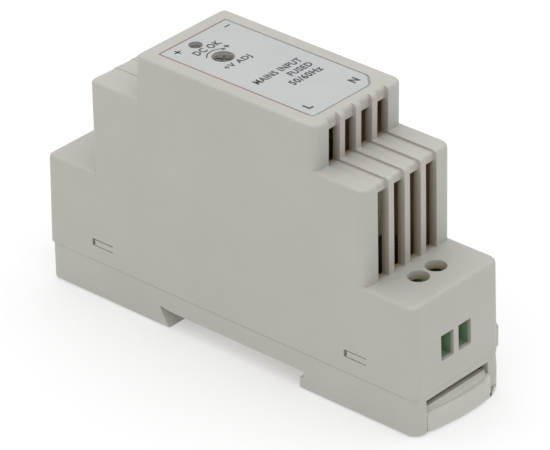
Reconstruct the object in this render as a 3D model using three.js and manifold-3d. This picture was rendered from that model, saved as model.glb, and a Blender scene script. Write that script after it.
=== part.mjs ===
// A slim DIN rail power supply, one module wide, with two-pole screw terminals at both ends.
// Units are millimetres. +X runs along the case towards the input terminals and the rail latch,
// +Y across its width, +Z up from the rail side to the label. The origin is the centre of the
// overall footprint, at the level of the underside.
import * as THREE from 'three';
import Module from 'manifold-3d';
import { mergeVertices } from 'three/addons/utils/BufferGeometryUtils.js';

const wasm = await Module();
wasm.setup();

// ---- driving dimensions -------------------------------------------------------------------
const HALF_LENGTH = 46.55;          // overall, cover's output end to the latch lip
const HALF_WIDTH = 12.3;
const TOP_Z = 56;
const MID_SHELF_Z = 46.8;
const TERMINAL_SHELF_Z = 26.95;
const PARTING_Z = 7.9;              // where the cover meets the base
const COVER_X = [-HALF_LENGTH, 44.75];
const MID_X = [-34.55, 33.45];      // middle block, measured at the terminal shelf
const TOP_X = [-22.4, 21.9];        // front block, measured at the middle shelf
const DRAFT = Math.tan(THREE.MathUtils.degToRad(1.3));
const CORNER_RADIUS = 2.1;          // of the upright edges
const EDGE_RADIUS = 0.85;           // round the top of each step
const WALL = 1.7;
const GAP = 0.3;                    // clearance between pieces that rest on each other
const SLIT = 0.15;                  // visible joint between base and cover
const PAST = 2;                     // how far a cutter runs past the face it cuts
const SKIM = 0.01;                  // keeps two faces from lying exactly in one plane

const VENT_PITCH = 4.45;
const VENT_WIDTH = 3;
const VENT_Y = -0.35;               // centre of the vents
const VENT_RECESS = 0.8;
const SHELF_RECESS = [0.2, 0.5];    // along the output shelf and the input shelf
const UPPER_VENT_TOP = 53.6;
const LOWER_VENT_TOP = 44.7;
const VENT_COUNT = 4;

const LABEL_X = [-18.85, 18.5];
const LABEL_Y = [-9.2, 8.95];
const LABEL_MARGIN = 0.12;
const LABEL_RECESS = 0.42;
const LABEL_THICKNESS = 0.2;
const LED_XY = [-16.2, -2.15];
const LED_HOLE_R = 1.35;
const TRIMMER_XY = [-9.25, -2.3];
const TRIMMER_HOLE_R = 2.15;

const TERMINAL_Y = 0.15;
const POLE_PITCH = 4.9;
const SCREW_INSET = 7.6;            // screw axis behind the cover's end face
const SCREW_HOLE_R = 2.05;
const COLLAR_R = 2.9;
const TERMINAL_TOP = 24.6;
const WIRE_WINDOW = { width: 3.45, shift: -0.7, z: [13, 18.2] };

const BASE_X = [-45.85, 45.05];
const BASE_HALF_WIDTH = 12.2;
const BASE_RADIUS = 2.5;
const BASE_WALL = 2;
const BASE_RIM_Z = PARTING_Z - SLIT;
const RAIL_SEAT_Z = 3.7;
const HOOK_TIP_X = -15.75;
const HOOK_ROOT_X = -18;
const LATCH_WALL_X = 16.95;
const RAIL_POCKET_X = 17.85;

const LATCH_Y = -0.4;
const LATCH_HALF_WIDTH = 8.35;
const LATCH_SIDE_GAP = 0.3;
const LATCH_FLANGE = 1.2;
const LATCH_TRAVEL = 3.5;
const SLOT_TOP_Z = 6.85;
const SNAP_X = [-32.25, 30.5];

const BOARD_Z = [9, 10.6];
const BOARD_X = [-43.4, 41.4];
const BOARD_HALF_WIDTH = 10.2;
const PART_Z = BOARD_Z[1] + GAP;    // underside of whatever stands on the main board
const ROUND = 24;                   // sides of a round piece

// ---- materials ----------------------------------------------------------------------------
const finish = (color, roughness, metalness = 0) =>
  new THREE.MeshStandardMaterial({ color, roughness, metalness });
const CASE_GREY = finish(0xb5b1aa, 0.55);
const LATCH_GREY = finish(0xb2afa8, 0.5);
const LABEL_FILM = finish(0xc9d1d8, 0.45);
const TERMINAL_GREEN = finish(0x2f7d4a, 0.45);
const STEEL = finish(0xa8a9ab, 0.35, 1);
const PLATED_BRASS = finish(0xb9b39c, 0.35, 1);
const FIBREGLASS = finish(0x6b7a3a, 0.6);
const BLACK_PLASTIC = finish(0x1a1a1b, 0.5);
const CAN_BLUE = finish(0x23344f, 0.4);
const CAN_BLACK = finish(0x15161a, 0.4);
const FERRITE = finish(0x2d2c2e, 0.75);
const BOBBIN = finish(0x20211f, 0.55);
const WINDING_TAPE = finish(0xc79a2a, 0.5);
const COPPER = finish(0xa0522d, 0.35, 1);
const FILM_YELLOW = finish(0xc9a227, 0.45);
const DISC_BLUE = finish(0x2b5fa5, 0.5);
const DISC_GREEN = finish(0x3c4a3a, 0.6);
const ALUMINIUM = finish(0xb8babd, 0.4, 1);
const LED_GREEN = finish(0x6f8f6a, 0.25);
const INSULATION = finish(0xd9d6c8, 0.6);
const TRIMMER_BLUE = finish(0x2f5f9a, 0.5);
const ROTOR_GREY = finish(0x55585a, 0.5);

// ---- solids -------------------------------------------------------------------------------
const part = new THREE.Group();

function solid(geometry) {
  const bare = geometry.index ? geometry.toNonIndexed() : geometry.clone();
  bare.deleteAttribute('normal');
  bare.deleteAttribute('uv');
  const merged = mergeVertices(bare, 1e-5);
  return new wasm.Manifold(new wasm.Mesh({
    numProp: 3,
    vertProperties: Float32Array.from(merged.attributes.position.array),
    triVerts: Uint32Array.from(merged.index.array),
  }));
}

function add(name, material, body) {
  const mesh = body.getMesh();
  const geometry = new THREE.BufferGeometry();
  geometry.setAttribute('position', new THREE.BufferAttribute(Float32Array.from(mesh.vertProperties), 3));
  geometry.setIndex(new THREE.BufferAttribute(Uint32Array.from(mesh.triVerts), 1));
  geometry.computeVertexNormals();
  const node = new THREE.Mesh(geometry, material);
  node.name = name;
  part.add(node);
}

const join = (pieces) => pieces.reduce((whole, piece) => whole.add(piece));
const cut = (body, cutters) => body.subtract(join(cutters));

function box([x0, x1], [y0, y1], [z0, z1]) {
  const geometry = new THREE.BoxGeometry(x1 - x0, y1 - y0, z1 - z0);
  geometry.translate((x0 + x1) / 2, (y0 + y1) / 2, (z0 + z1) / 2);
  return solid(geometry);
}

function rod([x, y], radius, [z0, z1], sides = ROUND) {
  const geometry = new THREE.CylinderGeometry(radius, radius, z1 - z0, sides);
  geometry.rotateX(Math.PI / 2);
  geometry.translate(x, y, (z0 + z1) / 2);
  return solid(geometry);
}

// An outline in X and Z, extruded along Y.
function slabAlongY(points, [y0, y1]) {
  const shape = new THREE.Shape(points.map(([x, z]) => new THREE.Vector2(x, z)));
  const geometry = new THREE.ExtrudeGeometry(shape, { depth: y1 - y0, bevelEnabled: false });
  geometry.rotateX(Math.PI / 2);
  geometry.translate(0, y1, 0);
  return solid(geometry);
}

// An outline in X and Y, extruded up Z.
function slabUp(shape, [z0, z1], curveSegments = 6) {
  const geometry = new THREE.ExtrudeGeometry(shape, { depth: z1 - z0, bevelEnabled: false, curveSegments });
  geometry.translate(0, 0, z0);
  return solid(geometry);
}

function roundedOutline([x0, x1], [y0, y1], radius) {
  const shape = new THREE.Shape();
  shape.moveTo(x0 + radius, y0);
  shape.lineTo(x1 - radius, y0);
  shape.absarc(x1 - radius, y0 + radius, radius, -Math.PI / 2, 0);
  shape.lineTo(x1, y1 - radius);
  shape.absarc(x1 - radius, y1 - radius, radius, 0, Math.PI / 2);
  shape.lineTo(x0 + radius, y1);
  shape.absarc(x0 + radius, y1 - radius, radius, Math.PI / 2, Math.PI);
  shape.lineTo(x0, y0 + radius);
  shape.absarc(x0 + radius, y0 + radius, radius, Math.PI, Math.PI * 1.5);
  return shape;
}

// ---- cover --------------------------------------------------------------------------------
// One step of the case: its ends lean in by the draft angle above the height where they are given.
function caseBlock([x0, x1], draftFrom, inset, top) {
  const bottom = PARTING_Z - PAST;
  const soft = inset > 0 ? 0 : EDGE_RADIUS;
  const plan = roundedOutline([x0 + inset + soft, x1 - inset - soft],
    [-HALF_WIDTH + inset + soft, HALF_WIDTH - inset - soft], CORNER_RADIUS - soft - inset / 2);
  const geometry = new THREE.ExtrudeGeometry(plan, {
    depth: top - inset - bottom - 2 * soft, curveSegments: 5, bevelEnabled: soft > 0,
    bevelThickness: soft, bevelSize: soft, bevelSegments: 3,
  });
  geometry.translate(0, 0, bottom + soft);
  const position = geometry.attributes.position;
  for (let i = 0; i < position.count; i += 1) {
    const side = Math.sign(position.getX(i) - (x0 + x1) / 2);
    position.setX(i, position.getX(i) - side * DRAFT * (position.getZ(i) - draftFrom));
  }
  return solid(geometry);
}

function steppedCase(inset) {
  return join([
    caseBlock(COVER_X, PARTING_Z, inset, TERMINAL_SHELF_Z),
    caseBlock(MID_X, TERMINAL_SHELF_Z, inset, MID_SHELF_Z),
    caseBlock(TOP_X, MID_SHELF_Z, inset, TOP_Z),
  ]);
}

const ventCentres = Array.from({ length: VENT_COUNT },
  (_, i) => VENT_Y + (i - (VENT_COUNT - 1) / 2) * VENT_PITCH);

// Slots in recesses down the two upper end faces, with grooves along the middle shelf. At the input
// end the recesses run out over the edges above them, at the output end they stop with their slots.
function ventCutters() {
  const cutters = [];
  const sillZ = TERMINAL_SHELF_Z + SKIM;
  for (const side of [0, 1]) {
    const out = side ? 1 : -1;
    const span = (inner, outer) => (side ? [inner, outer] : [outer, inner]);
    const floorZ = MID_SHELF_Z - SHELF_RECESS[side];
    const topSkin = TOP_X[side] - out * VENT_RECESS;
    const midSkin = MID_X[side] - out * VENT_RECESS;
    const topOut = TOP_X[side] + out * PAST;
    const midOut = MID_X[side] + out * PAST;
    const overShelf = MID_SHELF_Z + EDGE_RADIUS;
    for (const y of ventCentres) {
      const across = [y - VENT_WIDTH / 2, y + VENT_WIDTH / 2];
      cutters.push(box(span(topSkin, topOut), across, [floorZ, side ? TOP_Z + PAST : UPPER_VENT_TOP]));
      cutters.push(box(span(topSkin, midOut), across, [floorZ, overShelf]));
      cutters.push(box(span(midSkin, midOut), across, [sillZ, side ? overShelf : LOWER_VENT_TOP]));
      cutters.push(box(span(topSkin - out * WALL * PAST, topOut), across, [floorZ, UPPER_VENT_TOP]));
      cutters.push(box(span(midSkin - out * WALL * PAST, midOut), across, [sillZ, LOWER_VENT_TOP]));
    }
  }
  return cutters;
}

const poleCentres = [TERMINAL_Y - POLE_PITCH / 2, TERMINAL_Y + POLE_PITCH / 2];
const screwX = [COVER_X[0] + SCREW_INSET, COVER_X[1] - SCREW_INSET];

function windowSpan(y) {
  const centre = y + WIRE_WINDOW.shift;
  return [centre - WIRE_WINDOW.width / 2, centre + WIRE_WINDOW.width / 2];
}

function terminalCutters() {
  const cutters = [];
  for (const side of [0, 1]) {
    const out = side ? 1 : -1;
    const ends = [COVER_X[side] - out * WALL * PAST, COVER_X[side] + out * PAST].sort((a, b) => a - b);
    for (const y of poleCentres) {
      cutters.push(box(ends, windowSpan(y), WIRE_WINDOW.z));
      cutters.push(rod([screwX[side], y], SCREW_HOLE_R, [TERMINAL_TOP - 1, TERMINAL_SHELF_Z + PAST]));
    }
  }
  return cutters;
}

// Collars under the screw holes lead a screwdriver down to the terminal block.
function screwCollars() {
  const zs = [TERMINAL_TOP + GAP, TERMINAL_SHELF_Z - WALL / 2];
  return screwX.flatMap((x) => poleCentres.map((y) => rod([x, y], COLLAR_R, zs)));
}

// A snap tab: two slits along X and the notch at their free end that the base's wedge enters.
const SNAP_NOTCH = 1.3;
const SNAP_LENGTH = 5.3;
const SNAP_Z = [11.1, 12.6];
const SNAP_SLIT = 0.3;

function snapCutters() {
  const cutters = [];
  for (const x of SNAP_X) {
    const x0 = x - SNAP_LENGTH / 2;
    for (const out of [-1, 1]) {
      const through = [out * (HALF_WIDTH - WALL * PAST), out * (HALF_WIDTH + PAST)].sort((a, b) => a - b);
      cutters.push(box([x0, x0 + SNAP_NOTCH], through, SNAP_Z));
      cutters.push(box([x0, x0 + SNAP_LENGTH], through, [SNAP_Z[1] - SNAP_SLIT, SNAP_Z[1]]));
      cutters.push(box([x0, x0 + SNAP_LENGTH], through, [SNAP_Z[0], SNAP_Z[0] + SNAP_SLIT]));
    }
  }
  return cutters;
}

// One corner of the label is clipped and softened, its neighbour is rounded, and two are square.
function labelOutline(margin) {
  const [x0, x1] = [LABEL_X[0] - margin, LABEL_X[1] + margin];
  const [y0, y1] = [LABEL_Y[0] - margin, LABEL_Y[1] + margin];
  const corner = 1.1;
  const clip = 2.6;
  const soft = 0.7;
  const shape = new THREE.Shape();
  shape.moveTo(x0, y0);
  shape.lineTo(x1 - corner, y0);
  shape.quadraticCurveTo(x1, y0, x1, y0 + corner);
  shape.lineTo(x1, y1 - clip - soft);
  shape.quadraticCurveTo(x1, y1 - clip, x1 - soft * 0.7, y1 - clip + soft * 0.7);
  shape.lineTo(x1 - clip + soft * 0.7, y1 - soft * 0.7);
  shape.quadraticCurveTo(x1 - clip, y1, x1 - clip - soft, y1);
  shape.lineTo(x0, y1);
  return shape;
}

function makeCover() {
  const keep = box([-HALF_LENGTH - PAST, HALF_LENGTH], [-HALF_WIDTH - PAST, HALF_WIDTH + PAST],
    [PARTING_Z, TOP_Z + PAST]);
  const grip = box([38.5, COVER_X[1] - CORNER_RADIUS], [HALF_WIDTH - 0.5, HALF_WIDTH + 0.35],
    [PARTING_Z, 12.7]);
  const outside = steppedCase(0).intersect(keep).add(grip);
  const upperHole = [TOP_Z - WALL * PAST, TOP_Z + PAST];
  const cutters = [
    ...ventCutters(),
    ...terminalCutters(),
    ...snapCutters(),
    slabUp(labelOutline(LABEL_MARGIN), [TOP_Z - LABEL_RECESS, TOP_Z + PAST]),
    rod(LED_XY, LED_HOLE_R, upperHole),
    rod(TRIMMER_XY, TRIMMER_HOLE_R, upperHole),
  ];
  const shell = outside.subtract(steppedCase(WALL));
  add('cover', CASE_GREY, cut(join([shell, ...screwCollars()]), cutters));
}

function makeLabel() {
  const z0 = TOP_Z - LABEL_RECESS + SLIT;
  const zs = [z0, z0 + LABEL_THICKNESS];
  const through = [z0 - 1, z0 + 1];
  const holes = [rod(LED_XY, LED_HOLE_R, through), rod(TRIMMER_XY, TRIMMER_HOLE_R, through)];
  add('front_label', LABEL_FILM, cut(slabUp(labelOutline(0), zs), holes));
}

// ---- base ---------------------------------------------------------------------------------
const ARM_LENGTH = 6;
const ARM_Y = [9.1, HALF_WIDTH - WALL - GAP];
const ARM_TOP = 14;
const LEDGE_Y = 7.6;
const POST_X = [34.2, 35.7];
const POST_HALF_WIDTH = 1.6;
const CHANNEL_TOP = RAIL_SEAT_Z;
const FLANGE_Z = [2.1, 3.3];
const PLATE_Z = [0.35, 3.3];
const TONGUE_X = 39;                // where the latch plate thickens towards its lip
const GROOVE_END_X = 40.5;

function railCutter() {
  return slabAlongY([
    [HOOK_TIP_X, -PAST], [HOOK_TIP_X, 0], [HOOK_ROOT_X, RAIL_SEAT_Z + 0.3],
    [HOOK_ROOT_X + 3.8, RAIL_SEAT_Z], [RAIL_POCKET_X, RAIL_SEAT_Z], [RAIL_POCKET_X, 2.6],
    [LATCH_WALL_X, 2.3], [LATCH_WALL_X, -PAST],
  ], [-HALF_WIDTH - PAST, HALF_WIDTH + PAST]);
}

function latchChannelCutters() {
  const half = LATCH_HALF_WIDTH + LATCH_SIDE_GAP;
  const flange = half + LATCH_FLANGE;
  return [
    box([RAIL_POCKET_X - PAST, HALF_LENGTH + PAST], [LATCH_Y - half, LATCH_Y + half], [-PAST, CHANNEL_TOP]),
    box([RAIL_POCKET_X - PAST, GROOVE_END_X], [LATCH_Y - flange, LATCH_Y + flange],
      [FLANGE_Z[0] - 0.2, CHANNEL_TOP]),
    box([TONGUE_X - 0.5, HALF_LENGTH + PAST], [LATCH_Y - half, LATCH_Y + half], [1, SLOT_TOP_Z]),
    box([LIP_ROOT_X - 1.4, HALF_LENGTH + PAST], [LATCH_Y + half - 1, FOOT_REACH + GAP],
      [-PAST, FOOT_TOP + GAP]),
  ];
}

function baseHollowCutters() {
  const across = [-BASE_HALF_WIDTH + BASE_WALL, BASE_HALF_WIDTH - BASE_WALL];
  const top = PARTING_Z + PAST;
  return [
    box([BASE_X[0] + BASE_WALL, HOOK_ROOT_X - 1.8], across, [1.8, top]),
    box([HOOK_ROOT_X - 2.5, TONGUE_X - 1], across, [5.5, top]),
  ];
}

function snapArm(x, out) {
  const x0 = x - SNAP_LENGTH / 2;
  const span = [x0 - 1, x0 - 1 + ARM_LENGTH];
  const flip = (near, far) => [out * near, out * far].sort((a, b) => a - b);
  const arm = box(span, flip(...ARM_Y), [5, ARM_TOP]);
  const root = box(span, flip(ARM_Y[0], BASE_HALF_WIDTH - 1), [5, BASE_RIM_Z]);
  const ledge = box(span, flip(LEDGE_Y, ARM_Y[1]), [5, BOARD_Z[0] - GAP]);
  const wedge = box([x0 + 0.3, x0 + SNAP_NOTCH - 0.3], flip(ARM_Y[0], HALF_WIDTH - 0.9),
    [SNAP_Z[0] + 0.3, SNAP_Z[1] - 0.3]);
  return join([arm, root, ledge, wedge]);
}

function makeBase() {
  const plan = roundedOutline(BASE_X, [-BASE_HALF_WIDTH, BASE_HALF_WIDTH], BASE_RADIUS);
  const shell = slabUp(plan, [0, BASE_RIM_Z]);
  const hollow = cut(shell, [railCutter(), ...latchChannelCutters(), ...baseHollowCutters()]);
  const arms = SNAP_X.flatMap((x) => [snapArm(x, -1), snapArm(x, 1)]);
  const springStop = box(POST_X, [LATCH_Y - POST_HALF_WIDTH, LATCH_Y + POST_HALF_WIDTH],
    [0.6, CHANNEL_TOP + 0.5]);
  add('base', CASE_GREY, join([hollow, springStop, ...arms]));
}

// ---- rail latch ---------------------------------------------------------------------------
const WINDOW_X = [22, 36];
const LIP_ROOT_X = 45.3;
const LIP_Z = [0.15, 4.35];
const FOOT_REACH = 10.4;            // the lip's foot runs on under the base's +Y leg
const FOOT_TOP = 1;
const LIP_END_X = 45.6;
const SCOOP_TOP = [44.9, 5.55];

// The lip's plan: a shallow bow with rounded ends.
function lipPlan(y0, y1) {
  const end = 1.1;
  const bow = HALF_LENGTH * 2 - (LIP_END_X + 0.35);
  const shape = new THREE.Shape();
  shape.moveTo(LIP_ROOT_X - 1, y0);
  shape.lineTo(LIP_END_X - 0.5, y0);
  shape.quadraticCurveTo(LIP_END_X + 0.1, y0, LIP_END_X + 0.35, y0 + end);
  shape.quadraticCurveTo(bow, LATCH_Y, LIP_END_X + 0.35, y1 - end);
  shape.quadraticCurveTo(LIP_END_X + 0.1, y1, LIP_END_X - 0.5, y1);
  shape.lineTo(LIP_ROOT_X - 1, y1);
  return shape;
}

// The foot carries the lip's bow on past the slot, low down.
function footPlan(y0) {
  const shape = new THREE.Shape();
  shape.moveTo(LIP_ROOT_X - 1, y0);
  shape.lineTo(LIP_END_X + 0.35, y0);
  shape.quadraticCurveTo(LIP_END_X, FOOT_REACH - 0.6, LIP_ROOT_X - 0.6, FOOT_REACH);
  shape.lineTo(LIP_ROOT_X - 1, FOOT_REACH);
  return shape;
}

function makeLatch() {
  const [y0, y1] = [LATCH_Y - LATCH_HALF_WIDTH, LATCH_Y + LATCH_HALF_WIDTH];
  const nose = 2.2;
  const plate = slabAlongY([
    [LATCH_WALL_X - 1.2, 1.5], [LATCH_WALL_X + nose - 1.2, PLATE_Z[0]], [LIP_ROOT_X - 0.5, PLATE_Z[0]],
    [LIP_ROOT_X - 0.5, PLATE_Z[1]], [LATCH_WALL_X + nose, PLATE_Z[1]], [LATCH_WALL_X + nose - 1, 2.4],
    [LATCH_WALL_X - 1.2, 2.4],
  ], [y0, y1]);
  const flanges = box([20, 34.5], [y0 - LATCH_FLANGE + 0.2, y1 + LATCH_FLANGE - 0.2], FLANGE_Z);
  const scoop = new THREE.Shape();
  scoop.moveTo(TONGUE_X + LATCH_TRAVEL, PLATE_Z[1] - 1);
  scoop.lineTo(LIP_ROOT_X, PLATE_Z[1] - 1);
  scoop.lineTo(LIP_ROOT_X + 0.9, LIP_Z[1] - 0.2);
  scoop.quadraticCurveTo(SCOOP_TOP[0] + 0.1, LIP_Z[1] - 0.4, ...SCOOP_TOP);
  scoop.lineTo(TONGUE_X + LATCH_TRAVEL, SCOOP_TOP[1]);
  const tongue = slabAlongY(scoop.getPoints(4).map((p) => [p.x, p.y]), [y0 + 0.3, y1 - 0.3]);
  const lip = slabUp(lipPlan(y0, y1), LIP_Z, 5);
  const springWindow = box(WINDOW_X, [LATCH_Y - 2.2, LATCH_Y + 2.2], [-PAST, TERMINAL_SHELF_Z]);
  const foot = slabUp(footPlan(y1 - 1), [LIP_Z[0], FOOT_TOP], 4);
  add('rail_latch', LATCH_GREY, cut(join([plate, flanges, tongue, lip, foot]), [springWindow]));
}

function makeLatchSpring() {
  const radius = 1.15;
  const turns = 7;
  const [start, end] = [WINDOW_X[0] + 0.5, POST_X[0] - 0.5];
  const steps = turns * 8;
  const points = [];
  for (let i = 0; i <= steps; i += 1) {
    const angle = (i / steps) * turns * Math.PI * 2;
    const x = start + ((end - start) * i) / steps;
    points.push(new THREE.Vector3(x, LATCH_Y + radius * Math.cos(angle), 1.85 + radius * Math.sin(angle)));
  }
  const wire = new THREE.Shape();
  wire.absarc(0, 0, 0.2, 0, Math.PI * 2);
  const path = new THREE.CatmullRomCurve3(points);
  const geometry = new THREE.ExtrudeGeometry(wire, {
    steps, curveSegments: 3, bevelEnabled: false, extrudePath: path,
  });
  add('latch_spring', STEEL, solid(geometry));
}

// ---- screw terminals ----------------------------------------------------------------------
const TERMINAL_DEPTH = 9.2;
const TERMINAL_FACE_INSET = WALL + 0.65;
const CHAMBER = { near: 2.6, far: 7.8, halfWidth: 2.1, z: [11.4, 22.4] };
const CAGE = { halfDepth: 2.2, halfWidth: 1.85, bottom: 11.7, height: 7.5, wall: 0.65, crown: 1.2 };
const BAR_Z = [14.9, 15.5];
const BAR_HALF_WIDTH = 0.9;
const WELL_R = 2.1;

// Depth into the block is measured from its wire face, inwards.
function makeTerminal(name, poleNames, side) {
  const out = side ? 1 : -1;
  const face = COVER_X[side] - out * TERMINAL_FACE_INSET;
  const depthSpan = (near, far) => [face - out * near, face - out * far].sort((a, b) => a - b);
  const halfWidth = POLE_PITCH + 0.4;
  const axisX = screwX[side];
  const block = box(depthSpan(0, TERMINAL_DEPTH), [TERMINAL_Y - halfWidth, TERMINAL_Y + halfWidth],
    [PART_Z, TERMINAL_TOP]);
  const cutters = [];
  poleCentres.forEach((y, pole) => {
    const across = (half) => [y - half, y + half];
    cutters.push(box(depthSpan(CHAMBER.near, CHAMBER.far), across(CHAMBER.halfWidth), CHAMBER.z));
    cutters.push(box(depthSpan(-1, CHAMBER.near + 0.5), windowSpan(y),
      [WIRE_WINDOW.z[0] - 0.2, WIRE_WINDOW.z[1]]));
    cutters.push(rod([axisX, y], WELL_R, [CHAMBER.z[1] - 0.5, TERMINAL_TOP + 1]));
    cutters.push(box(depthSpan(CHAMBER.far - 0.5, 8.8), across(BAR_HALF_WIDTH + 0.3),
      [PART_Z - 1, BAR_Z[1] + 0.3]));
    makeClampCage(`${name}_clamp_${poleNames[pole]}`, axisX, y);
    makeClampScrew(`${name}_screw_${poleNames[pole]}`, axisX, y);
    makeContact(`${name}_contact_${poleNames[pole]}`, depthSpan, y);
  });
  add(`${name}_terminal_block`, TERMINAL_GREEN, cut(block, cutters));
}

function makeClampCage(name, x, y) {
  const { halfDepth, halfWidth, bottom, height, wall, crown } = CAGE;
  const outer = box([x - halfDepth, x + halfDepth], [y - halfWidth, y + halfWidth],
    [bottom, bottom + height]);
  const opening = box([x - halfDepth - 1, x + halfDepth + 1], [y - halfWidth + wall, y + halfWidth - wall],
    [bottom + wall, bottom + height - crown]);
  const thread = rod([x, y], 1.5, [bottom + height - crown - 0.5, bottom + height + 1], 16);
  add(name, PLATED_BRASS, cut(outer, [opening, thread]));
}

function makeClampScrew(name, x, y) {
  const head = rod([x, y], 1.8, [22.1, 23.9]);
  const shank = rod([x, y], 1.2, [BAR_Z[1] + 0.3, 22.3], 12);
  const reach = 1.35;
  const slotWidth = 0.5;
  const slots = [
    box([x - reach, x + reach], [y - slotWidth / 2, y + slotWidth / 2], [22.9, 25]),
    box([x - slotWidth / 2, x + slotWidth / 2], [y - reach, y + reach], [22.9, 25]),
  ];
  add(name, STEEL, cut(head.add(shank), slots));
}

function makeContact(name, depthSpan, y) {
  const across = [y - BAR_HALF_WIDTH, y + BAR_HALF_WIDTH];
  const bar = box(depthSpan(CHAMBER.near + 0.3, 8.5), across, BAR_Z);
  const pin = box(depthSpan(7.9, 8.5), [y - 0.4, y + 0.4], [7.9, BAR_Z[1]]);
  add(name, PLATED_BRASS, bar.add(pin));
}

function contactPinHoles() {
  const holes = [];
  for (const side of [0, 1]) {
    const out = side ? 1 : -1;
    const pinX = COVER_X[side] - out * (TERMINAL_FACE_INSET + 8.2);
    for (const y of poleCentres) {
      holes.push(box([pinX - 0.65, pinX + 0.65], [y - 0.75, y + 0.75], [BOARD_Z[0] - 1, BOARD_Z[1] + 1]));
    }
  }
  return holes;
}

// ---- boards and the parts on them ---------------------------------------------------------
const FRONT_BOARD_Z = [47, 48.4];
const FRONT_PART_Z = FRONT_BOARD_Z[1] + GAP;
const RISER_X = [-14.4, -13.2];
const RISER_HALF_WIDTH = 7.5;

// The snap arms rise through notches in the long edges of the main board.
function armNotches() {
  const zs = [BOARD_Z[0] - 1, BOARD_Z[1] + 1];
  return SNAP_X.flatMap((x) => {
    const start = x - SNAP_LENGTH / 2 - 1;
    const span = [start - GAP, start + ARM_LENGTH + GAP];
    const near = ARM_Y[0] - GAP;
    return [box(span, [near, HALF_WIDTH], zs), box(span, [-HALF_WIDTH, -near], zs)];
  });
}

function makeBoards() {
  const main = box(BOARD_X, [-BOARD_HALF_WIDTH, BOARD_HALF_WIDTH], BOARD_Z);
  add('main_board', FIBREGLASS, cut(main, [...contactPinHoles(), ...armNotches()]));
  add('front_board', FIBREGLASS, box([-19.4, -4.6], [-7.5, 7.5], FRONT_BOARD_Z));
  add('riser_board', FIBREGLASS,
    box(RISER_X, [-RISER_HALF_WIDTH, RISER_HALF_WIDTH], [PART_Z, FRONT_BOARD_Z[0] - GAP]));
  add('insulation_sheet', INSULATION, box([-20, 37], [-7.2, 7.2], [5.8, 6.2]));
}

function makeFrontParts() {
  const dome = new THREE.Shape();
  dome.moveTo(0, 0);
  dome.lineTo(1.75, 0);
  dome.lineTo(1.75, 0.9);
  dome.lineTo(1.45, 0.9);
  dome.lineTo(1.45, 3.6);
  dome.absarc(0, 3.6, 1.45, 0, Math.PI / 2);
  const lens = new THREE.LatheGeometry(dome.getPoints(5), ROUND);
  lens.rotateX(Math.PI / 2);
  lens.translate(...LED_XY, FRONT_PART_Z);
  add('status_led', LED_GREEN, solid(lens));

  const [x, y] = TRIMMER_XY;
  const half = 3.3;
  const top = FRONT_PART_Z + 4.9;
  const seat = top - 1;
  const housing = box([x - half, x + half], [y - half, y + half], [FRONT_PART_Z, top]);
  add('trimmer_body', TRIMMER_BLUE, cut(housing, [rod([x, y], 2.3, [seat, top + 1])]));
  const rotor = rod([x, y], 1.95, [seat + GAP, top + 0.2]);
  const slots = [
    box([x - 1.5, x + 1.5], [y - 0.3, y + 0.3], [top - 0.4, top + 1]),
    box([x - 0.3, x + 0.3], [y - 1.5, y + 1.5], [top - 0.4, top + 1]),
  ];
  add('trimmer_rotor', ROTOR_GREY, cut(rotor, slots));
}

function makeTransformer() {
  const [x0, x1] = [-12.2, 5.2];
  const [y0, y1] = [-9, 4.2];
  const [z0, z1] = [PART_Z, 29.5];
  const leg = 3.2;
  const core = cut(box([x0, x1], [y0 + 3.4, y1 - 3.4], [z0 + 3, z1]), [
    box([x0 + leg, x1 - leg], [y0, y1], [z0 + 3 + leg, z1 - leg]),
  ]);
  add('transformer_core', FERRITE, core);
  const bobbinFeet = box([x0 + leg + GAP, x1 - leg - GAP], [y0, y1], [z0, z0 + 2.6]);
  add('transformer_bobbin', BOBBIN, bobbinFeet);
  add('transformer_winding', WINDING_TAPE, cut(
    box([x0 + leg + GAP, x1 - leg - GAP], [y0 + 0.4, y1 - 0.4], [z0 + 3 + leg + GAP, z1 - leg - GAP]),
    [box([x0, x1], [y0 - 1, y0 + 1.2], [z1 - leg - 2, z1])],
  ));
}

function makePrimaryParts() {
  add('bulk_capacitor', CAN_BLACK, can([13.1, -1.5], 6.2, 27));
  add('bridge_rectifier', BLACK_PLASTIC, box([6.4, 19.8], [5.6, 8.8], [PART_Z, PART_Z + 10]));
  add('x_capacitor', FILM_YELLOW, box([20.2, 24.8], [-8.8, 0.4], [PART_Z, PART_Z + 12.5]));
  const windingRadius = 3.1;
  add('line_choke_core', FERRITE, cut(box([20.2, 24.8], [1.4, 8.8], [PART_Z, PART_Z + 14]), [
    box([19, 26], [3, 7.2], [PART_Z + 2, PART_Z + 12]),
  ]));
  add('line_choke_winding', COPPER, box([20.6, 24.4], [3.3, 6.9], [PART_Z + 2.3, PART_Z + 11.7]));
  add('input_fuse', BLACK_PLASTIC, rod([28.9, -5], 3.6, [PART_Z, PART_Z + 8]));
  add('inrush_thermistor', DISC_GREEN, disc([28.9, 4.4], windingRadius * 1.3, 3));
  add('switch_transistor', BLACK_PLASTIC, box([-9.6, 0.4], [4.8, 8.6], [PART_Z + 4, PART_Z + 19]));
  add('transistor_heatsink', ALUMINIUM, box([-12, 4.6], [8.95, 10.1], [PART_Z, PART_Z + 22]));
}

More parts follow.
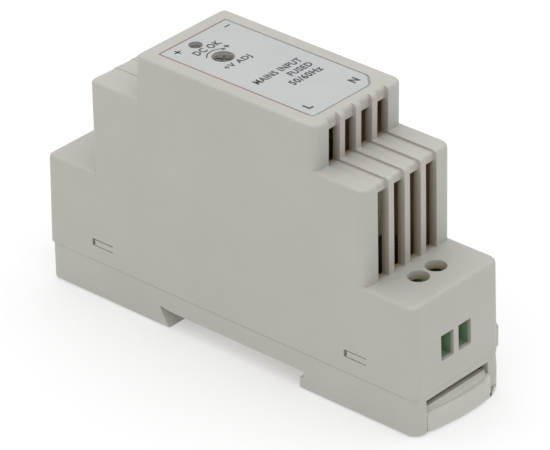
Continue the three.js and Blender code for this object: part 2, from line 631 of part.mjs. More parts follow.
function makeSecondaryParts() {
  add('output_capacitor_a', CAN_BLUE, can([-28.9, -4.6], 3.6, 16));
  add('output_capacitor_b', CAN_BLUE, can([-21.1, -4.6], 3.6, 16));
  add('output_choke', FERRITE, rod([-25.9, 1.5], 2.9, [PART_Z, PART_Z + 9]));
  add('output_diode', BLACK_PLASTIC, box([-29, -19.8], [4.9, 8.6], [PART_Z + 4, PART_Z + 18]));
  add('output_heatsink', ALUMINIUM, box([-28.6, -19.4], [8.95, 10.1], [PART_Z, PART_Z + 20]));
  add('optocoupler', BLACK_PLASTIC, box([-19.6, -15], [2.4, 8.4], [PART_Z, PART_Z + 3.4]));
  add('controller_chip', BLACK_PLASTIC,
    box([RISER_X[0] - GAP - 1.5, RISER_X[0] - GAP], [-2.5, 2.5], [26, 31]));
  add('y_capacitor', DISC_BLUE, disc([-16, -4.6], 3.4, 2.6));
}

// A radial can with a turned-in groove near its foot.
function can([x, y], radius, height) {
  const groove = 0.35;
  const outline = [
    [0, 0], [radius - 0.4, 0], [radius, 0.4], [radius, 1.6], [radius - groove, 2], [radius, 2.4],
    [radius, height - 0.5], [radius - 0.5, height], [0, height],
  ].map(([r, z]) => new THREE.Vector2(r, z));
  const geometry = new THREE.LatheGeometry(outline, ROUND);
  geometry.rotateX(Math.PI / 2);
  geometry.translate(x, y, PART_Z);
  return solid(geometry);
}

// A ceramic disc standing on edge across the board.
function disc([x, y], radius, thickness) {
  const geometry = new THREE.CylinderGeometry(radius, radius, thickness, ROUND);
  geometry.rotateZ(Math.PI / 2);
  geometry.translate(x, y, PART_Z + radius + 0.6);
  return solid(geometry);
}

// ---- assembly -----------------------------------------------------------------------------
makeCover();
makeLabel();
makeBase();
makeLatch();
makeLatchSpring();
makeTerminal('input', ['line', 'neutral'], 1);
makeTerminal('output', ['positive', 'negative'], 0);
makeBoards();
makeFrontParts();
makeTransformer();
makePrimaryParts();
makeSecondaryParts();

export default part;
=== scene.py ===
"""Looks of a slim DIN rail power supply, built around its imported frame.

Shapes are worked out in millimetres and stored in metres. +X runs along the case towards the
mains terminals and the rail latch, +Y across it, +Z up to the front label. A pair of sizes that
is picked by side gives the output end (low X) first and the input end second.
"""
import math

import bmesh
import bpy
from mathutils import Matrix, Vector


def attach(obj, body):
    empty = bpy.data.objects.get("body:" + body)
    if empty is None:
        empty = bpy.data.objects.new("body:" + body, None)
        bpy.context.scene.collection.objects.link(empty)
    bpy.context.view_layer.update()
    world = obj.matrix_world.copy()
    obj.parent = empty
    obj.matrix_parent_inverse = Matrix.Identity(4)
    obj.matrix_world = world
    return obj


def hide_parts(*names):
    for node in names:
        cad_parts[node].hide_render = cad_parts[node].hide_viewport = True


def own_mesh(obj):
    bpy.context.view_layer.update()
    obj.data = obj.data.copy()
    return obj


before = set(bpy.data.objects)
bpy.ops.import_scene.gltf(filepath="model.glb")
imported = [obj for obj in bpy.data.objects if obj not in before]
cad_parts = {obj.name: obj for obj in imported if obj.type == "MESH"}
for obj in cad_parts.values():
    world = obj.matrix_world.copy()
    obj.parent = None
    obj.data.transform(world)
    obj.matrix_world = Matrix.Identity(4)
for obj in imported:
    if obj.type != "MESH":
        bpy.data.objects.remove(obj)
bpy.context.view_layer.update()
scene = bpy.context.scene
MM = 0.001

# ---- the case's driving sizes, in millimetres ----------------------------------------------
COVER_X = (-46.55, 44.75)   # the ends of the three steps, each at its foot
MID_X = (-34.55, 33.45)
TOP_X = (-22.4, 21.9)
SIDE_Y = (-12.3, 12.15)
PARTING_Z = 7.9             # where the cover meets the base
TERMINAL_Z = 26.95          # the tops of the three steps
MID_Z = 46.8
TOP_Z = 56.0
DRAFT = math.tan(math.radians(1.3))
CORNER = 2.1                # upright corners at the input end, and at the output end
FAR_CORNER = 1.4
EDGE = 0.85                 # the rounded edge along each step's top
EDGE_STEPS = 6
WALL = 1.7
REACH = 2 * WALL            # how far a cutter goes in through a wall
PAST = 2.0                  # how far a cutter stands out beyond a surface

VENT_Y = [-0.35 + (i - 1.5) * 4.45 for i in range(4)]
VENT_HALF = 1.5
VENT_RECESS = 0.8           # how deep the slots lie between their ribs
VENT_LINTEL = 0.8           # how far the output end's recesses go on above their slots
SHELF_RECESS = (0.1, 0.5)
UPPER_VENT_TOP = 53.6
LOWER_VENT_TOP = 44.7

LABEL_X = (-18.85, 18.5)
LABEL_Y = (-9.2, 8.95)
LABEL_RECESS = 0.34
LABEL_GAP = 0.12
LABEL_FILM = (55.67, 55.93)
INK_Z = (LABEL_FILM[1] - 0.01, LABEL_FILM[1] + 0.012)
LED_XY = (-16.2, -2.15)
LED_HOLE = 1.35
TRIMMER_XY = (-9.25, -2.3)
TRIMMER_HOLE = 2.15

POLE_Y = (-2.3, 2.6)
SCREW_X = (-38.95, 37.15)
SCREW_HOLE = 2.05
COLLAR = 2.9                # the sleeve that hangs from the cover round each screw hole
COLLAR_Z = 25.1
TERMINAL_TOP = 24.2
WINDOW_HALF = 1.725
WINDOW_SHIFT = -0.7         # from the pole to the middle of its window
WINDOW_Z = (13.0, 18.2)
WINDOW_WALL = 1.15          # the wall is this thin round the windows
POCKET_Y = (-3.1, 1.7)
POCKET_RISE = 0.7

SNAP_X = (-32.25, 30.5)
SNAP_HALF = 2.65
SNAP_Z = (11.1, 12.6)
SNAP_STEM = 0.7
SNAP_GROOVES = ((12.42, 12.6), (11.1, 11.28))


# ---- building solids ------------------------------------------------------------------------
def new_object(name, mesh):
    obj = bpy.data.objects.new(name, mesh)
    scene.collection.objects.link(obj)
    return obj


def mesh_from(verts, faces, name="solid"):
    mesh = bpy.data.meshes.new(name)
    mesh.from_pydata(verts, [], faces)
    work = bmesh.new()
    work.from_mesh(mesh)
    bmesh.ops.recalc_face_normals(work, faces=work.faces)
    work.to_mesh(mesh)
    work.free()
    return new_object(name, mesh)


def loft(rings):
    """A closed solid through rings of as many points each, listed from one end to the other."""
    count = len(rings[0])
    verts = [point for ring in rings for point in ring]
    faces = [tuple(reversed(range(count)))]
    for level in range(len(rings) - 1):
        low = level * count
        for i in range(count):
            j = (i + 1) % count
            faces.append((low + i, low + j, low + count + j, low + count + i))
    faces.append(tuple(range(len(verts) - count, len(verts))))
    return mesh_from(verts, faces)


def box(x, y, z):
    (x0, x1), (y0, y1), (z0, z1) = sorted(x), sorted(y), sorted(z)
    ring = [(x0, y0), (x1, y0), (x1, y1), (x0, y1)]
    return loft([[(px, py, pz) for px, py in ring] for pz in (z0, z1)])


def prism(outline, z):
    return loft([[(px, py, pz) for px, py in outline] for pz in sorted(z)])


def slab(outline, y):
    """An anticlockwise outline in X and Z, carried along Y."""
    return loft([[(px, py, pz) for px, pz in outline] for py in sorted(y, reverse=True)])


def circle(centre, radius, steps):
    cx, cy = centre
    turns = [2 * math.pi * i / steps for i in range(steps)]
    return [(cx + radius * math.cos(a), cy + radius * math.sin(a)) for a in turns]


def rod(centre, radius, z, steps=40):
    return prism(circle(centre, radius, steps), z)


def lathe(centre, profile, steps=40):
    """Turns (radius, z) pairs, listed from the bottom up, about an upright axis."""
    return loft([[(px, py, z) for px, py in circle(centre, r, steps)] for r, z in profile])


def rounded(x, y, radius, steps=7, far=None):
    """A rectangle with round corners, those at low X with a radius of their own if far is given."""
    (x0, x1), (y0, y1) = x, y
    far = radius if far is None else far
    ring = []
    corners = ((x1 - radius, y0 + radius, radius, -90), (x1 - radius, y1 - radius, radius, 0),
               (x0 + far, y1 - far, far, 90), (x0 + far, y0 + far, far, 180))
    for cx, cy, r, start in corners:
        for i in range(steps + 1):
            angle = math.radians(start + 90 * i / steps)
            ring.append((cx + r * math.cos(angle), cy + r * math.sin(angle)))
    return ring


def arc(start, control, end, steps):
    """A quadratic curve from start to end, without its first point."""
    points = []
    for i in range(1, steps + 1):
        t = i / steps
        points.append(tuple((1 - t) ** 2 * a + 2 * t * (1 - t) * b + t * t * c
                            for a, b, c in zip(start, control, end)))
    return points


def evaluated(obj):
    bpy.context.view_layer.update()
    return obj.evaluated_get(bpy.context.evaluated_depsgraph_get())


def combine(base, others, operation):
    """Joins to or cuts from the base, one solid at a time."""
    for other in others:
        modifier = base.modifiers.new("step", "BOOLEAN")
        modifier.operation = operation
        modifier.object = other
        modifier.solver = "MANIFOLD"
    mesh = bpy.data.meshes.new_from_object(evaluated(base))
    for obj in [base, *others]:
        bpy.data.objects.remove(obj)
    return new_object("solid", mesh)


def join(base, *others):
    return combine(base, others, "UNION")


def cut(base, *others):
    return combine(base, others, "DIFFERENCE")


def tidy(work):
    """Merges faces in one plane and removes the slivers that solid operations leave."""
    bmesh.ops.remove_doubles(work, verts=work.verts, dist=0.02)
    bmesh.ops.dissolve_degenerate(work, edges=work.edges, dist=0.01)
    bmesh.ops.dissolve_limit(work, angle_limit=math.radians(0.4), verts=work.verts,
                             edges=work.edges)
    bmesh.ops.recalc_face_normals(work, faces=work.faces)


def soften_edges(work, radius, segments, crease, chosen):
    """Rounds the sharp edges whose ends both lie where chosen() says."""
    sharp = [edge for edge in work.edges
             if abs(edge.calc_face_angle_signed(0)) > math.radians(crease)
             and all(chosen(vert.co) for vert in edge.verts)]
    bmesh.ops.bevel(work, geom=sharp, offset=radius, offset_type="OFFSET", segments=segments,
                    profile=0.5, affect="EDGES", clamp_overlap=False)


# Rows of points here keep a recess's depth, and the painted shade drawn from it, from spreading
# along the long faces beside it.
SHADE_ROWS_X = (TOP_X[0] + 0.5, TOP_X[1] - 0.5, MID_X[0] + 0.15, MID_X[1] - 0.15)


def piece(obj, name, look, body, replaces=(), soften=0.12, segments=2, crease=38,
          chosen=lambda point: True, shade=None):
    """Gives a solid its softened edges, look and place in the model.

    Where shade() is given, what it says of each point is kept as the attribute "depth", which a
    look can turn into painted shade.
    """
    work = bmesh.new()
    work.from_mesh(obj.data)
    tidy(work)
    if soften:
        soften_edges(work, soften, segments, crease, chosen)
    if shade:
        for x in SHADE_ROWS_X:
            bmesh.ops.bisect_plane(work, geom=[*work.verts, *work.edges, *work.faces],
                                   plane_co=(x, 0, 0), plane_no=(1, 0, 0))
        layer = work.verts.layers.float.new("depth")
        for vert in work.verts:
            vert[layer] = shade(vert.co)
    work.to_mesh(obj.data)
    work.free()
    obj.name = name
    obj.data.name = name
    obj.data.transform(Matrix.Scale(MM, 4))
    obj.data.materials.clear()
    obj.data.materials.append(look)
    obj.data.shade_smooth()
    obj.data.set_sharp_from_angle(angle=math.radians(crease))
    normals = obj.modifiers.new("normals", "WEIGHTED_NORMAL")
    normals.weight = 60
    normals.keep_sharp = True
    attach(obj, body)
    if replaces:
        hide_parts(*replaces)
    return obj


# ---- materials --------------------------------------------------------------------------------
class Nodes:
    """Short calls for building one material's node tree."""

    def __init__(self, name):
        self.material = bpy.data.materials.new(name)
        self.material.use_nodes = True
        self.tree = self.material.node_tree
        self.shader = self.tree.nodes["Principled BSDF"]
        self.place = self.add("ShaderNodeTexCoord").outputs["Object"]

    def add(self, kind, **inputs):
        node = self.tree.nodes.new(kind)
        for key, value in inputs.items():
            self.put(node.inputs[key.replace("_", " ")], value)
        return node

    def put(self, socket, value):
        if isinstance(value, bpy.types.NodeSocket):
            self.tree.links.new(value, socket)
        else:
            socket.default_value = value

    def set(self, **inputs):
        for key, value in inputs.items():
            self.put(self.shader.inputs[key.replace("_", " ")], value)

    def stretched(self, scale):
        mapping = self.add("ShaderNodeMapping", Vector=self.place)
        mapping.inputs["Scale"].default_value = scale
        return mapping.outputs["Vector"]

    def noise(self, scale, detail=3.0, roughness=0.55, place=None):
        node = self.add("ShaderNodeTexNoise", Vector=place or self.place, Scale=scale,
                        Detail=detail, Roughness=roughness)
        return node.outputs["Fac"]

    def spread(self, value, low, high, near=0.3, far=0.7):
        node = self.add("ShaderNodeMapRange", Value=value)
        node.inputs["From Min"].default_value = near
        node.inputs["From Max"].default_value = far
        node.inputs["To Min"].default_value = low
        node.inputs["To Max"].default_value = high
        return node.outputs["Result"]

    def blend(self, factor, first, second):
        node = self.add("ShaderNodeMix")
        node.data_type = "RGBA"
        self.put(node.inputs["Factor"], factor)
        self.put(node.inputs[6], first)
        self.put(node.inputs[7], second)
        return node.outputs[2]

    def tones(self, factor, first, second):
        """A blend of two screen colours."""
        return self.blend(factor, linear(*first), linear(*second))

    def bump(self, height, strength, depth_mm, under=None):
        node = self.add("ShaderNodeBump", Height=height, Strength=strength, Distance=depth_mm * MM)
        if under:
            self.put(node.inputs["Normal"], under)
        return node.outputs["Normal"]


def linear(red, green, blue):
    """A colour given in 0-255 screen values, as the shader wants it."""
    def channel(value):
        value /= 255
        return value / 12.92 if value <= 0.04045 else ((value + 0.055) / 1.055) ** 2.4
    return (channel(red), channel(green), channel(blue), 1.0)


# Millimetres below the outside, from where the painted recess shade starts to where it is full.
SHADE_FROM, SHADE_TO = 0.65, 1.85


def moulded(name, first, second, gloss, grain=5200, grain_depth=0.012, blotch=55, recess_shade=None):
    """Moulded plastic: faint flow blotches, a fine spark-eroded grain and uneven gloss.

    Down in its recesses it turns to a darker, warmer colour: painted shade for the light that fails
    to reach in there.
    """
    n = Nodes(name)
    flow = n.noise(blotch, 4.0)
    fine = n.noise(grain, 2.0, 0.5)
    tone = n.tones(n.spread(flow, 0, 1), first, second)
    if recess_shade:
        # Painted shade: the colour darkens and warms with the depth below the outside.
        depth = n.add("ShaderNodeAttribute")
        depth.attribute_name = "depth"
        share = n.spread(depth.outputs["Fac"], 0, 1, SHADE_FROM, SHADE_TO)
        tone = n.blend(share, tone, linear(*recess_shade))
    n.set(Base_Color=tone, Roughness=n.spread(n.noise(420, 3.0), *gloss))
    wave = n.bump(n.noise(260, 2.0), 0.25, 0.02)
    n.set(Normal=n.bump(fine, 0.35, grain_depth, wave))
    return n.material


def metal(name, first, second, gloss, scratch=(2600, 2600, 260)):
    """Metal with tonal drift and fine marks, drawn out along the axis of least scratch scale."""
    n = Nodes(name)
    marks = n.noise(1.0, 4.0, 0.6, n.stretched(scratch))
    n.set(Metallic=1.0, Base_Color=n.tones(n.spread(n.noise(380, 3.0), 0, 1), first, second),
          Roughness=n.spread(marks, *gloss), Normal=n.bump(marks, 0.3, 0.006))
    return n.material


def film(name, first, second):
    """Polyester label stock: smooth, with the slightest orange peel."""
    n = Nodes(name)
    n.set(Base_Color=n.tones(n.spread(n.noise(90, 4.0), 0, 1), first, second),
          Roughness=n.spread(n.noise(700, 2.0), 0.36, 0.46),
          Normal=n.bump(n.noise(1500, 2.0), 0.2, 0.008), Specular_IOR_Level=0.4)
    return n.material


def ink(name, colour, worn):
    """Screen-printed ink, a little uneven in its cover; it also draws a painted shadow line."""
    n = Nodes(name)
    n.set(Base_Color=n.tones(n.spread(n.noise(2600, 3.0), 0, 1, 0.35, 0.8), colour, worn),
          Roughness=n.spread(n.noise(1500, 2.0), 0.45, 0.6))
    return n.material


def board(name):
    """Solder-masked glass laminate: its weave prints faintly through the mask."""
    n = Nodes(name)
    warp = n.add("ShaderNodeTexWave", Vector=n.place, Scale=900.0, Distortion=0.4).outputs["Fac"]
    weft = n.add("ShaderNodeTexWave", Vector=n.place, Scale=900.0, Distortion=0.4)
    weft.bands_direction = "Y"
    cross = n.add("ShaderNodeMath")
    cross.operation = "MULTIPLY"
    n.put(cross.inputs[0], warp)
    n.put(cross.inputs[1], weft.outputs["Fac"])
    tone = n.tones(n.spread(cross.outputs["Value"], 0, 1, 0, 1), (44, 74, 48), (58, 92, 56))
    drift = n.blend(n.spread(n.noise(160), 0, 0.5), tone, linear(78, 104, 52))
    n.set(Base_Color=drift, Roughness=n.spread(n.noise(900), 0.3, 0.45),
          Normal=n.bump(cross.outputs["Value"], 0.3, 0.03))
    return n.material


def wound(name, first, second, pitch, gloss, metallic=0.0, depth=0.08):
    """Windings or wrapped tape: turns stacked along Z that catch the light one by one."""
    n = Nodes(name)
    turns = n.add("ShaderNodeTexWave", Vector=n.place, Scale=math.pi * 0.1 / (pitch * MM),
                  Distortion=0.6, Detail=2.0)
    turns.bands_direction = "Z"
    rows = turns.outputs["Fac"]
    n.set(Base_Color=n.tones(n.spread(rows, 0, 1, 0, 1), first, second), Metallic=metallic,
          Roughness=n.spread(n.noise(700), *gloss), Normal=n.bump(rows, 0.6, depth))
    return n.material


def speckled(name, first, second, scale, gloss):
    """Sintered or dipped surfaces: close-set grains of two tones."""
    n = Nodes(name)
    cells = n.add("ShaderNodeTexVoronoi", Vector=n.place, Scale=scale).outputs["Distance"]
    n.set(Base_Color=n.tones(n.spread(cells, 0, 1, 0.1, 0.6), first, second),
          Roughness=n.spread(n.noise(600), *gloss), Normal=n.bump(cells, 0.35, 0.03))
    return n.material


# Its third colour is painted shade, laid into the recesses of the cover and base by their depth.
HOUSING = moulded("housing plastic", (184, 181, 174), (188, 185, 178), (0.44, 0.58),
                  recess_shade=(166, 150, 118))
LATCH = moulded("latch plastic", (194, 191, 184), (199, 196, 189), (0.3, 0.42), blotch=90)
TERMINAL = moulded("terminal plastic", (124, 160, 122), (136, 170, 132), (0.3, 0.42), grain=4200)
BLACK = moulded("black moulding", (26, 26, 28), (36, 36, 37), (0.42, 0.6), grain=4800)
TRIMMER = moulded("trimmer plastic", (52, 84, 124), (62, 96, 138), (0.35, 0.5))
ROTOR = moulded("rotor plastic", (84, 88, 82), (108, 112, 104), (0.35, 0.5), blotch=600)
SLEEVE = moulded("capacitor sleeve", (22, 32, 52), (30, 42, 66), (0.22, 0.34), grain=900,
                 blotch=220)
FILM_BOX = moulded("film capacitor box", (196, 158, 44), (210, 172, 58), (0.3, 0.45))
LED_LENS = moulded("led lens", (48, 54, 50), (86, 92, 86), (0.12, 0.22), grain_depth=0.004)
SHEET = moulded("insulating sheet", (228, 226, 218), (238, 236, 228), (0.4, 0.55), grain=1500)
KRAFT = moulded("liner card", (176, 148, 128), (190, 160, 138), (0.55, 0.7), grain=2600,
                blotch=140)
DISC = speckled("disc coating", (38, 78, 142), (52, 98, 168), 1400, (0.25, 0.4))
THERMISTOR = speckled("thermistor coating", (44, 52, 44), (62, 72, 60), 1200, (0.4, 0.6))
FERRITE = speckled("ferrite", (38, 37, 39), (56, 54, 56), 2400, (0.6, 0.8))
TAPE = wound("winding tape", (186, 140, 40), (204, 160, 58), 1.6, (0.28, 0.4), depth=0.05)
COPPER = wound("enamelled copper", (138, 66, 32), (176, 92, 48), 0.45, (0.25, 0.38),
               metallic=0.8)
STEEL = metal("plated steel", (176, 176, 174), (198, 198, 196), (0.24, 0.42))
BRASS = metal("plated brass", (178, 172, 150), (200, 194, 174), (0.26, 0.44))
SPRING = metal("spring steel", (150, 150, 152), (172, 172, 174), (0.22, 0.36))
ALUMINIUM = metal("sheet aluminium", (186, 188, 190), (202, 204, 206), (0.28, 0.5),
                  scratch=(260, 2600, 2600))
LAMINATE = board("circuit board")
LABEL = film("label film", (185, 188, 188), (189, 192, 191))
INK = ink("label ink", (58, 62, 66), (84, 88, 92))
RED_INK = ink("red border ink", (150, 84, 80), (172, 110, 104))
# A thin grey line of painted shadow, where the recess wall round the label shades its edge.
PAINTED_EDGE_SHADOW = ink("painted edge shadow", (128, 132, 138), (146, 150, 154))


# ---- cover -------------------------------------------------------------------------------------
def leaned(ring, x, draft_from, z):
    """The ring at height z, with its two ends drawn in by the draft."""
    middle = sum(x) / 2
    return [(px - math.copysign(DRAFT * (z - draft_from), px - middle), py, z) for px, py in ring]


def case_block(x, draft_from, top, bottom=PARTING_Z):
    """One step of the case: leaning ends, round corners and a round edge along its top."""
    y = SIDE_Y
    rings = [leaned(rounded(x, y, CORNER, far=FAR_CORNER), x, draft_from, bottom)]
    for i in range(EDGE_STEPS + 1):
        angle = math.radians(90 * i / EDGE_STEPS)
        inset = EDGE * (1 - math.cos(angle))
        plan = rounded((x[0] + inset, x[1] - inset), (y[0] + inset, y[1] - inset), CORNER - inset,
                       far=FAR_CORNER - inset)
        rings.append(leaned(plan, x, draft_from, top - EDGE + EDGE * math.sin(angle)))
    return loft(rings)


def cavity_block(x, draft_from, top):
    """The hollow inside one step."""
    inner_x = (x[0] + WALL, x[1] - WALL)
    inner_y = (SIDE_Y[0] + WALL, SIDE_Y[1] - WALL)
    plan = rounded(inner_x, inner_y, CORNER - WALL / 2, 4)
    return loft([leaned(plan, x, draft_from, z) for z in (PARTING_Z - PAST, top - WALL)])


# Each step's ends, where its draft starts and its top.
STEPS = ((COVER_X, PARTING_Z, TERMINAL_Z), (MID_X, TERMINAL_Z, MID_Z), (TOP_X, MID_Z, TOP_Z))


def shallow_case(side, keep_shelf_end=False):
    """The case less the depth of one end's recesses: what their cutters leave standing."""
    mid, top = list(MID_X), list(TOP_X)
    out = 1 if side else -1
    if not keep_shelf_end:
        mid[side] -= out * VENT_RECESS
    top[side] -= out * VENT_RECESS
    over = 0.05  # clears the case's top, so that no sliver is cut there
    return join(case_block(COVER_X, PARTING_Z, TERMINAL_Z, bottom=PARTING_Z - PAST),
                case_block(mid, TERMINAL_Z, MID_Z - SHELF_RECESS[side]),
                case_block(top, MID_Z, TOP_Z + over))


def vent_bars(x, z):
    return [box(x, (y - VENT_HALF, y + VENT_HALF), z) for y in VENT_Y]


def recess_cutters():
    """The recesses between the vents' ribs.

    At the input end they run out over the edges above them, at the output end they stop there.
    """
    inward, below = 4, 1
    input_end = vent_bars((TOP_X[1] - inward, MID_X[1] + PAST), (TERMINAL_Z - below, TOP_Z + PAST))
    shelf = vent_bars((TOP_X[0] + inward, MID_X[0] - PAST),
                      (MID_Z - below, UPPER_VENT_TOP + VENT_LINTEL))
    wall = vent_bars((MID_X[0] + inward, MID_X[0] - PAST),
                     (TERMINAL_Z - below, LOWER_VENT_TOP + VENT_LINTEL))
    return [cut(join(*input_end), shallow_case(1)),
            cut(join(*shelf), shallow_case(0, keep_shelf_end=True)),
            cut(join(*wall), shallow_case(0))]


def vent_cutters():
    """The slots through the recesses' floors."""
    cutters = []
    for side, out in ((0, -1), (1, 1)):
        floor = MID_Z - SHELF_RECESS[side]
        top_skin, mid_skin = TOP_X[side] - out * VENT_RECESS, MID_X[side] - out * VENT_RECESS
        cutters += vent_bars((top_skin - out * REACH, top_skin + out * PAST),
                             (floor, UPPER_VENT_TOP))
        cutters += vent_bars((mid_skin - out * REACH, mid_skin + out * PAST),
                             (TERMINAL_Z, LOWER_VENT_TOP))
    return cutters


def window_span(pole):
    """The window's two sides in Y."""
    return (pole + WINDOW_SHIFT - WINDOW_HALF, pole + WINDOW_SHIFT + WINDOW_HALF)


def terminal_cutters():
    """The wire windows, the pockets that thin the wall behind them and the screw holes."""
    cutters = []
    for side, out in ((0, -1), (1, 1)):
        inner = COVER_X[side] - out * REACH
        for y in POLE_Y:
            cutters += [
                box((inner, COVER_X[side] + out * PAST), window_span(y), WINDOW_Z),
                box((inner, COVER_X[side] - out * WINDOW_WALL), (y + POCKET_Y[0], y + POCKET_Y[1]),
                    (WINDOW_Z[0] - POCKET_RISE, WINDOW_Z[1] + POCKET_RISE)),
                rod((SCREW_X[side], y), SCREW_HOLE, (TERMINAL_TOP - 1, TERMINAL_Z + PAST), 48),
            ]
    return cutters


def snap_cutters():
    """The slots that free a springy tab on each side: a stem and a groove above and below it."""
    cutters = []
    for x in SNAP_X:
        start = x - SNAP_HALF
        for y in ((SIDE_Y[0] - PAST, SIDE_Y[0] + REACH), (SIDE_Y[1] - REACH, SIDE_Y[1] + PAST)):
            cutters.append(box((start, start + SNAP_STEM), y, SNAP_Z))
            cutters += [box((start, start + 2 * SNAP_HALF), y, z) for z in SNAP_GROOVES]
    return cutters


def label_outline(margin):
    """The label seen from above, with one round and one clipped corner at the input end."""
    x0, x1 = LABEL_X[0] - margin, LABEL_X[1] + margin
    y0, y1 = LABEL_Y[0] - margin, LABEL_Y[1] + margin
    corner, clip, soft = 1.1, 2.6, 0.7
    lean = soft * 0.7
    outline = [(x0, y0), (x1 - corner, y0)]
    outline += arc(outline[-1], (x1, y0), (x1, y0 + corner), 6)
    outline.append((x1, y1 - clip - soft))
    outline += arc(outline[-1], (x1, y1 - clip), (x1 - lean, y1 - clip + lean), 4)
    outline.append((x1 - clip + lean, y1 - lean))
    outline += arc(outline[-1], (x1 - clip, y1), (x1 - clip - soft, y1), 4)
    outline.append((x0, y1))
    return outline


def depth_inside(point):
    """How far a point lies below the cover's outside."""
    depths = []
    for (x0, x1), draft_from, top in STEPS:
        lean = DRAFT * (point.z - draft_from)
        depths.append(min(point.x - x0 - lean, x1 - lean - point.x, point.y - SIDE_Y[0],
                          SIDE_Y[1] - point.y, top - point.z))
    return max(depths)


def cover_edge(point):
    """Whether an edge here gets rounded: not inside, low down or at the output end's vents."""
    if point.z < WINDOW_Z[0] - 0.1:
        return False
    if point.x < TOP_X[0] + 1.5 and point.z > TERMINAL_Z + 0.1:
        return False
    return depth_inside(point) < 1.2


def make_cover():
    shell = join(*[case_block(*step) for step in STEPS])
    grip = slab([(38.6, PARTING_Z), (43.7, PARTING_Z), (43.7, 12.0), (43.3, 12.6), (38.6, 12.6)],
                (SIDE_Y[1] - 0.5, 12.6))
    shell = join(shell, grip)
    shell = cut(shell, *[cavity_block(*step) for step in STEPS])
    collars = [rod((x, y), COLLAR, (COLLAR_Z, TERMINAL_Z - WALL / 2))
               for x in SCREW_X for y in POLE_Y]
    shell = join(shell, *collars)
    top = (TOP_Z - REACH, TOP_Z + PAST)
    shell = cut(shell, *recess_cutters(), *vent_cutters(), *terminal_cutters(), *snap_cutters(),
                prism(label_outline(LABEL_GAP), (TOP_Z - LABEL_RECESS, TOP_Z + PAST)),
                rod(LED_XY, LED_HOLE, top), rod(TRIMMER_XY, TRIMMER_HOLE, top))
    # The depth below the outside drives the painted shade in the cover's recesses.
    cover = piece(shell, "case_cover", HOUSING, "case", ["cover"], soften=0.14,
                  chosen=cover_edge, shade=depth_inside)
    # Rounding lifts a few points of the recesses' edges a little above the top.
    for vert in cover.data.vertices:
        vert.co.z = min(vert.co.z, TOP_Z * MM)


# ---- base --------------------------------------------------------------------------------------
BASE_X = (-46.1, 45.05)
BASE_Y = (-12.2, 12.1)
BASE_CORNER = 2.5
BASE_FAR_CORNER = 1.5
BASE_CHAMFER = 0.35
BASE_LEAN = 0.3             # of its latch end, from LEAN_Z up to the rim
LEAN_Z = 4.6
BASE_WALL = 2
RIM_Z = PARTING_Z - 0.03
RAIL_SEAT_Z = 3.7
SLOT_Y = (-9.3, 8.12)       # the latch's slot in the end
SLOT_TOP_Z = 6.85
FOOT_Y = 10.5               # where the slot ends beside the lip's foot
SEAM_X = (-44, 43.6)        # the shadow line along the rim of each long side
SEAM_HIGH, SEAM_DEEP = 0.07, 0.12


def snap_arm(x, out):
    """A post that holds the main board and whose wedge clicks into the cover."""
    start = x - SNAP_HALF
    span = (start - 1, start + 5)
    post = box(span, (out * 9.1, out * 10.2), (5, 14))
    root = box(span, (out * 9.1, out * 11.2), (5, RIM_Z))
    board_rest = box(span, (out * 7.6, out * 10.2), (5, 8.7))
    near, far = start + 0.1, start + 0.6
    wedge = slab([(near, 11.3), (far, 11.3), (far, 12.4), (near, 12.4)], (out * 10, out * 11.6))
    return join(post, root, board_rest, wedge)


def base_edge(point):
    """Whether an edge gets rounded: not the rim's, and not the small steps under the latch."""
    under_foot = point.x > 30 and point.y > 9.9 and point.z < 1.2
    latch_roof = point.x > 18 and abs(point.z - RAIL_SEAT_Z) < 0.1
    return point.z < RIM_Z - 0.05 and not under_foot and not latch_roof


def base_depth(point):
    """How far a point lies inside the base's four sides."""
    return min(point.x - BASE_X[0], BASE_X[1] - point.x, point.y - BASE_Y[0], BASE_Y[1] - point.y)


def make_base():
    rings = []
    for inset, lean, z in ((BASE_CHAMFER, 0, 0), (0.1, 0, 0.1), (0, 0, BASE_CHAMFER),
                           (0, 0, LEAN_Z), (0, BASE_LEAN, RIM_Z)):
        plan = rounded((BASE_X[0] + inset, BASE_X[1] - inset - lean),
                       (BASE_Y[0] + inset, BASE_Y[1] - inset),
                       BASE_CORNER - inset, far=BASE_FAR_CORNER - inset)
        rings.append([(px, py, z) for px, py in plan])
    shell = loft(rings)
    rail = slab([(-15.75, -PAST), (16.95, -PAST), (16.95, 2.3), (17.85, 2.6), (17.85, RAIL_SEAT_Z),
                 (-14.2, RAIL_SEAT_Z), (-18, RAIL_SEAT_Z + 0.3), (-15.75, 0)], (-15, 15))
    inner_y = (BASE_Y[0] + BASE_WALL, BASE_Y[1] - BASE_WALL)
    slide = box((15.85, 48), (-9.05, 8.25), (-PAST, RAIL_SEAT_Z))
    flange_grooves = box((15.85, 40.5), (-10.25, 9.45), (1.9, RAIL_SEAT_Z))
    lip_slot = box((38.5, 48), SLOT_Y, (1, SLOT_TOP_Z))
    foot_slot = box((43.9, 48), (SLOT_Y[0], FOOT_Y), (-PAST, 1.1))
    hook_hollow = box((BASE_X[0] + BASE_WALL, -19.8), inner_y, (1.8, 10))
    board_bay = box((-20.5, 38), inner_y, (5.5, 10))
    shell = cut(shell, rail, slide, flange_grooves, lip_slot, foot_slot, hook_hollow, board_bay)
    seam_z = (RIM_Z - SEAM_HIGH, RIM_Z + 1)
    shell = cut(shell, box(SEAM_X, (BASE_Y[0] - 1, BASE_Y[0] + SEAM_DEEP), seam_z),
                box(SEAM_X, (BASE_Y[1] - SEAM_DEEP, BASE_Y[1] + 1), seam_z))
    spring_post = box((34.2, 35.7), (-2, 1.2), (0.6, 4.2))
    arms = [snap_arm(x, out) for x in SNAP_X for out in (-1, 1)]
    # The depth inside the sides drives the painted shade in the base's hollows.
    piece(join(shell, spring_post, *arms), "rail_base", HOUSING, "case",
          ["base"], soften=0.1, chosen=base_edge, shade=base_depth)


# ---- rail latch ----------------------------------------------------------------------------------
LIP_Y = (-9.12, 8.04)
LIP_STEPS = 36
